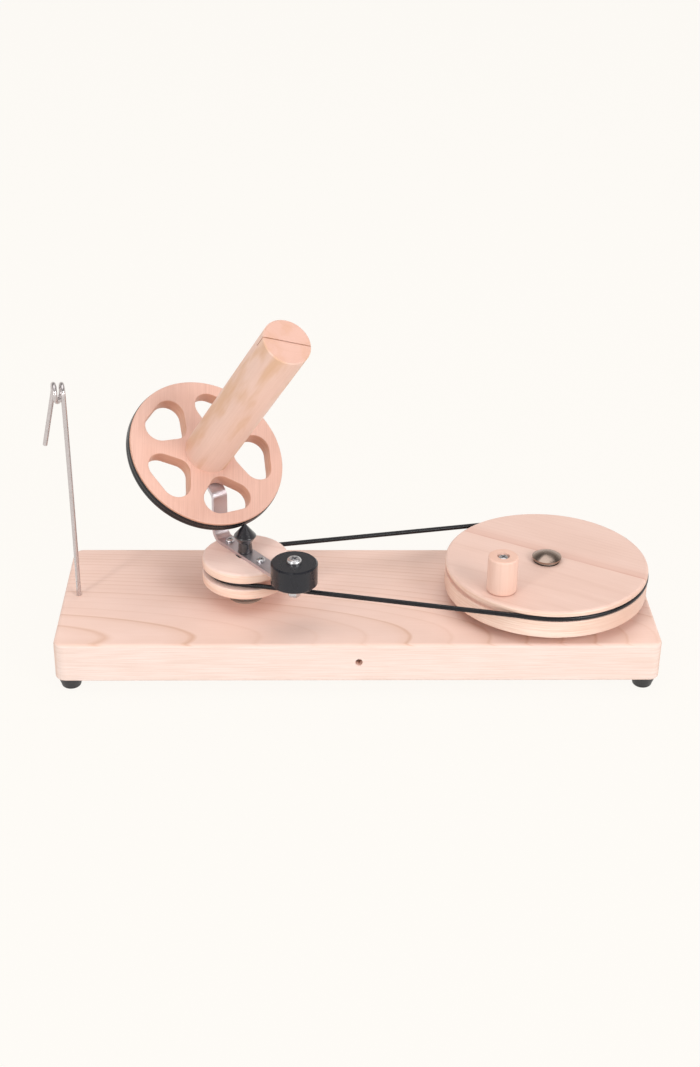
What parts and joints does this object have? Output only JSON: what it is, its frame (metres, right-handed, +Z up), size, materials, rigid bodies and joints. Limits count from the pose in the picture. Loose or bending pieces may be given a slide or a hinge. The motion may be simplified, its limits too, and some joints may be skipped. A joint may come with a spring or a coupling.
{
  "type": "yarn ball winder",
  "caption": "Hand-cranked yarn ball winder: a wooden base board with a belt drive wheel, a pulley with a counterweighted arm, a leaning spindle on a spoked wheel, and a wire yarn guide.",
  "frame": {"origin": "middle of the base board's footprint, on the plane that the four feet stand on", "axes": "+X along the board from the yarn guide to the drive wheel, +Y to the back, +Z up"},
  "size_m": [0.5076, 0.1924, 0.31],
  "materials": {
    "lacquered_board": "satin",
    "turned_wood": "satin",
    "core_wood": "satin",
    "foot_rubber": "matte",
    "band_rubber": "satin",
    "cone_plastic": "gloss",
    "weight_metal": "satin",
    "arm_steel": "brushed",
    "bright_steel": "polished",
    "plated_steel": "satin",
    "bearing_steel": "satin"
  },
  "bodies": {
    "base": {"base_board": "lacquered_board", "rubber_foot_1": "foot_rubber", "rubber_foot_2": "foot_rubber", "rubber_foot_3": "foot_rubber", "rubber_foot_4": "foot_rubber", "foot_screws": "plated_steel", "yarn_guide": "bright_steel", "axle_bolt": "bright_steel", "axle_top_washer": "plated_steel", "axle_top_shim": "plated_steel", "axle_sleeve": "plated_steel", "axle_lower_shim": "plated_steel", "axle_lock_nut": "plated_steel", "axle_board_washer": "plated_steel", "axle_recess_washer": "plated_steel", "axle_recess_nut": "plated_steel", "flyer_post": "plated_steel", "post_inner_sleeve": "plated_steel", "post_lower_sleeve": "plated_steel", "post_lock_nut": "plated_steel", "post_board_washer": "bright_steel", "post_recess_washer": "plated_steel", "post_recess_nut": "plated_steel", "fixed_cone": "cone_plastic", "drive_band": "band_rubber"},
    "crank_wheel": {"drive_wheel": "turned_wood", "drive_bearing_upper": "bearing_steel", "drive_bearing_lower": "bearing_steel", "knob_screw": "bright_steel", "knob_washer": "plated_steel", "knob_nut": "plated_steel"},
    "knob": {"crank_knob": "turned_wood"},
    "flyer": {"flyer_pulley": "turned_wood", "pulley_bearing_upper": "bearing_steel", "pulley_bearing_lower": "bearing_steel", "winder_arm": "arm_steel", "arm_screws": "bright_steel", "counterweight": "weight_metal", "weight_screw": "bright_steel", "weight_nut": "plated_steel", "spindle_axle": "plated_steel", "spindle_inner_sleeve": "plated_steel", "spindle_rear_sleeve": "plated_steel", "spindle_washer": "plated_steel", "spindle_nut": "plated_steel"},
    "spindle": {"winding_wheel": "turned_wood", "winding_tyre": "band_rubber", "spindle_core": "core_wood", "spindle_bearing_rear": "bearing_steel", "spindle_bearing_front": "bearing_steel"}
  },
  "joints": [
    {"name": "drive_spin", "type": "hinge", "parent": "base", "child": "crank_wheel", "pos_m": [0.1612, 0, 0.067], "axis": [0, 0, 1], "continuous": true},
    {"name": "knob_spin", "type": "hinge", "parent": "crank_wheel", "child": "knob", "pos_m": [0.11755, -0.04951, 0.096], "axis": [0, 0, 1], "continuous": true},
    {"name": "flyer_spin", "type": "hinge", "parent": "base", "child": "flyer", "pos_m": [-0.0947, 0, 0.073], "axis": [0, 0, 1], "continuous": true},
    {"name": "spindle_spin", "type": "hinge", "parent": "flyer", "child": "spindle", "pos_m": [-0.12641, 0.04118, 0.16181], "axis": [0.3873, -0.5029, 0.7727], "continuous": true}
  ],
  "couplings": [
    {"joint": "flyer_spin", "follows": "drive_spin", "ratio": 2.5938},
    {"joint": "spindle_spin", "follows": "drive_spin", "ratio": 0.08996}
  ]
}
